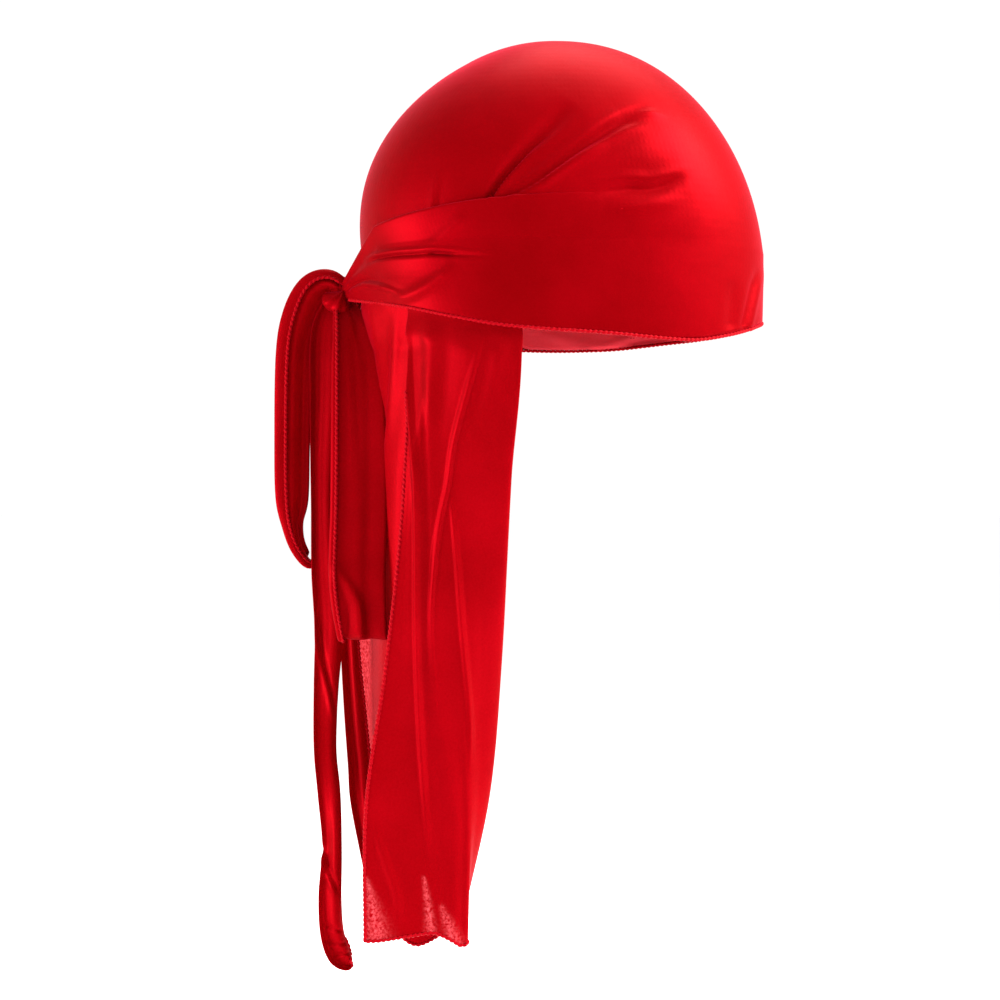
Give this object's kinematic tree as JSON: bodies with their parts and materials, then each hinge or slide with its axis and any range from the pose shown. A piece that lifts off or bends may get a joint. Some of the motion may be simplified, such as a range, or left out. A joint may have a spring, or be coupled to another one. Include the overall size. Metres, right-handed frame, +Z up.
{
  "type": "durag",
  "caption": "Satin durag in its worn form: hollow domed crown, wide straps wrapped back and tied in a bow behind the head, and a long draped tail.",
  "frame": {"origin": "middle of the head opening, level with the rim", "axes": "+X to the wearer's front, +Y to the wearer's left, +Z up through the crown; the tail and ties hang along -Z"},
  "size_m": [0.2506, 0.1622, 0.4721],
  "materials": {
    "satin": "smooth satin",
    "thread": "overlocked thread"
  },
  "bodies": {
    "root": {"crown_right": "satin", "crown_left": "satin", "right_strap": "satin", "left_strap": "satin", "front_hem": "thread", "tail": "satin", "knot": "satin", "bow_loop_side": "satin", "bow_loop_front": "satin", "tie_end_long": "satin", "tie_end_short": "satin"}
  },
  "joints": []
}
